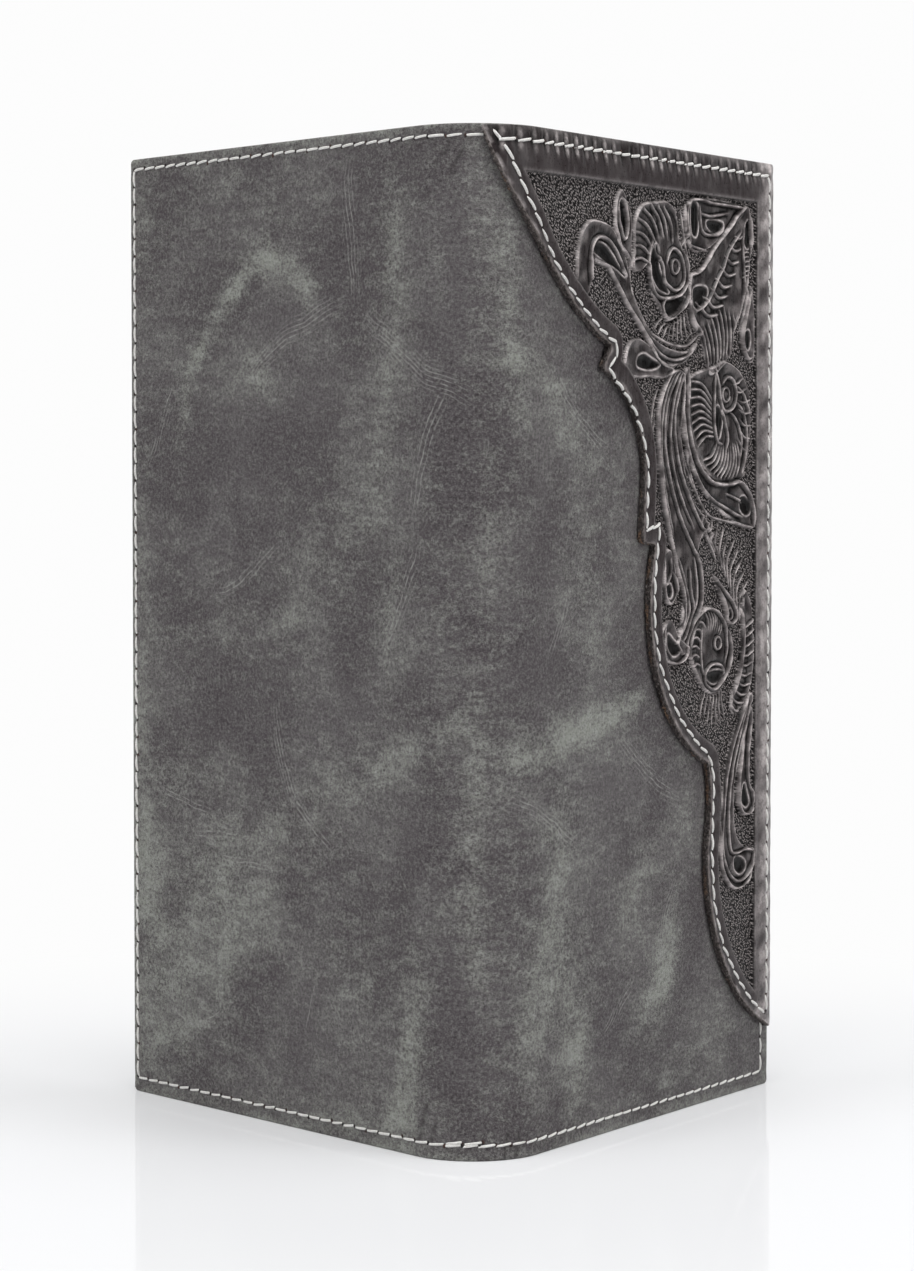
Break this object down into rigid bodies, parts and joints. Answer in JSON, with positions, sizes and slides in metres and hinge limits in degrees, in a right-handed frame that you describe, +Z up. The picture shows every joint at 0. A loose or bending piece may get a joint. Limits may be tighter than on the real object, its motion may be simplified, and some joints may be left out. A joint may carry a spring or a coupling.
{
  "type": "rodeo wallet",
  "caption": "Tall two-fold leather wallet with a scalloped tooled overlay, card pockets, a window and a zip pocket, standing half open on its bottom edge.",
  "frame": {"origin": "middle of the wallet's box on the surface that it stands on, half open as in the picture", "axes": "+Z up along the spine; the spine faces -Y; the plain back cover goes to -X and the tooled front cover to +X"},
  "size_m": [0.124, 0.0774, 0.178],
  "materials": {
    "outer_leather": "matte distressed grey pull-up leather with pale cloudy rubs",
    "overlay_leather": "semi-gloss near-black tooled leather with a raw brown cut edge",
    "inner_leather": "smooth charcoal leather",
    "lining_fabric": "black twill lining",
    "seam_thread": "off-white waxed lockstitch thread",
    "zip_tape": "black woven tape",
    "zip_metal": "nickel-plated",
    "clear_sheet": "clear flexible sheet"
  },
  "bodies": {
    "spine_back": {"spine_leather_back": "outer_leather", "spine_lining_back": "lining_fabric", "spine_bottom_thread_back": "seam_thread", "spine_top_thread_back": "seam_thread"},
    "spine_front": {"spine_leather_front": "outer_leather", "spine_lining_front": "lining_fabric", "spine_bottom_thread_front": "seam_thread", "spine_top_thread_front": "seam_thread", "tooled_overlay_spine_end": "overlay_leather", "overlay_spine_thread": "seam_thread"},
    "front_cover": {"front_cover_leather": "outer_leather", "tooled_overlay": "overlay_leather", "overlay_border_thread": "seam_thread", "overlay_edge_thread": "seam_thread", "front_bottom_thread": "seam_thread", "front_lining": "lining_fabric", "front_inner_panel": "inner_leather", "front_pocket_thread": "seam_thread", "front_card_pocket_lower_1": "inner_leather", "front_card_pocket_lower_2": "inner_leather", "front_card_pocket_lower_3": "inner_leather", "front_card_pocket_lower_4": "inner_leather", "front_card_pocket_upper_1": "inner_leather", "front_card_pocket_upper_2": "inner_leather", "front_card_pocket_upper_3": "inner_leather", "front_card_pocket_upper_4": "inner_leather"},
    "back_cover": {"back_cover_leather": "outer_leather", "back_perimeter_thread": "seam_thread", "back_lining": "lining_fabric", "back_inner_panel": "inner_leather", "back_pocket_thread": "seam_thread", "back_card_pocket_1": "inner_leather", "back_card_pocket_2": "inner_leather", "back_card_pocket_3": "inner_leather", "id_window_frame": "inner_leather", "id_window_sheet": "clear_sheet", "id_window_thread": "seam_thread", "zip_pocket_bag": "lining_fabric", "zip_tape_fold_side": "zip_tape", "zip_tape_edge_side": "zip_tape", "zip_teeth_fold_side": "zip_metal", "zip_teeth_edge_side": "zip_metal", "zip_top_stop": "zip_metal", "zip_bottom_stop": "zip_metal", "zip_seam_thread": "seam_thread"},
    "zip_slider": {"zip_slider": "zip_metal"},
    "zip_pull": {"zip_pull": "zip_metal"}
  },
  "joints": [
    {"name": "spine_fold", "type": "hinge", "parent": "spine_back", "child": "spine_front", "pos_m": [-0.00062, -0.03551, 0.089], "axis": [0, 0, 1], "range_deg": [-35.1, 24.8]},
    {"name": "front_fold", "type": "hinge", "parent": "spine_front", "child": "front_cover", "pos_m": [0.00916, -0.03067, 0.089], "axis": [0, 0, 1], "range_deg": [-35.1, 24.8]},
    {"name": "back_fold", "type": "hinge", "parent": "spine_back", "child": "back_cover", "pos_m": [-0.01039, -0.03067, 0.089], "axis": [0, 0, -1], "range_deg": [-35.1, 24.8]},
    {"name": "zip_slide", "type": "slide", "parent": "back_cover", "child": "zip_slider", "axis": [0, 0, -1], "range_m": [0, 0.131]},
    {"name": "zip_pull_swing", "type": "hinge", "parent": "zip_slider", "child": "zip_pull", "pos_m": [-0.01507, -0.01413, 0.1612], "axis": [0.606, -0.7955, 0], "range_deg": [0, 170]}
  ],
  "couplings": [
    {"joint": "front_fold", "follows": "spine_fold", "ratio": 1},
    {"joint": "back_fold", "follows": "spine_fold", "ratio": 1}
  ]
}
